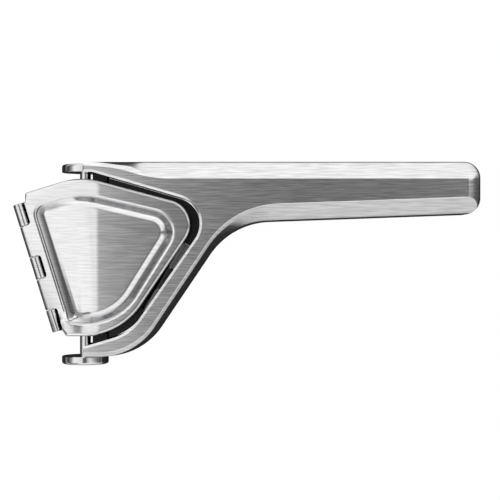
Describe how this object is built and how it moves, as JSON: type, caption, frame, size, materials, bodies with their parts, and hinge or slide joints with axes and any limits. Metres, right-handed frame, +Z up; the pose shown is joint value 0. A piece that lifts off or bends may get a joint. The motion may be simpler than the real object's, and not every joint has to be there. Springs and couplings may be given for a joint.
{
  "type": "folding citrus squeezer",
  "caption": "Brushed metal citrus squeezer that folds flat: bent, embossed jaws hinged to each other sit in the forked heads of two long bevelled handles.",
  "frame": {"origin": "bottom centre of the bounding box, with the squeezer lying flat on its rear arm", "axes": "+X from the jaws along the handles to their ends, +Y across the handles towards the upper pivot disc, +Z up through the front arm; right-handed"},
  "size_m": [0.24, 0.1038, 0.028],
  "materials": {
    "arm": "brushed along the handle, bevels brighter",
    "handle_cover": "plain, fine brushed",
    "jaw_shell": "brushed across the head",
    "inner_plate": "dark satin, cast",
    "hinge_pin": "ground",
    "pivot_pin": "turned and polished",
    "washer": "plain",
    "clip": "dark spring steel",
    "screw": "plain"
  },
  "bodies": {
    "rear_arm_body": {"rear_arm": "arm", "rear_handle_cover": "handle_cover", "rear_cover_screws": "screw", "upper_pivot_pin": "pivot_pin", "lower_pivot_pin": "pivot_pin", "upper_pivot_washer": "washer", "lower_pivot_washer": "washer", "upper_pivot_clip": "clip", "lower_pivot_clip": "clip", "rear_link_pin": "hinge_pin"},
    "front_arm_body": {"front_arm": "arm", "front_handle_cover": "handle_cover", "front_cover_screws": "screw", "front_link_pin": "hinge_pin"},
    "front_plate": {"front_shell": "jaw_shell", "press_plate": "inner_plate", "press_plate_screws": "screw", "fold_hinge_pin": "hinge_pin"},
    "rear_plate": {"rear_shell": "jaw_shell", "strainer_plate": "inner_plate", "strainer_plate_screws": "screw"}
  },
  "joints": [
    {"name": "handle_opening", "type": "hinge", "parent": "rear_arm_body", "child": "front_arm_body", "pos_m": [-0.08266, 0.00668, 0.014], "axis": [0, -1, 0], "range_deg": [0, 60]},
    {"name": "front_plate_fold", "type": "hinge", "parent": "front_arm_body", "child": "front_plate", "pos_m": [-0.04206, -0.00833, 0.0171], "axis": [0.4898, 0.871, 0.0374], "range_deg": [0, 13.1]},
    {"name": "rear_plate_fold", "type": "hinge", "parent": "rear_arm_body", "child": "rear_plate", "pos_m": [-0.04206, -0.00833, 0.0109], "axis": [-0.4898, -0.871, 0.0374], "range_deg": [0, 13.1]}
  ],
  "couplings": [
    {"joint": "front_plate_fold", "follows": "handle_opening", "ratio": 0.2168},
    {"joint": "rear_plate_fold", "follows": "handle_opening", "ratio": 0.2168}
  ]
}
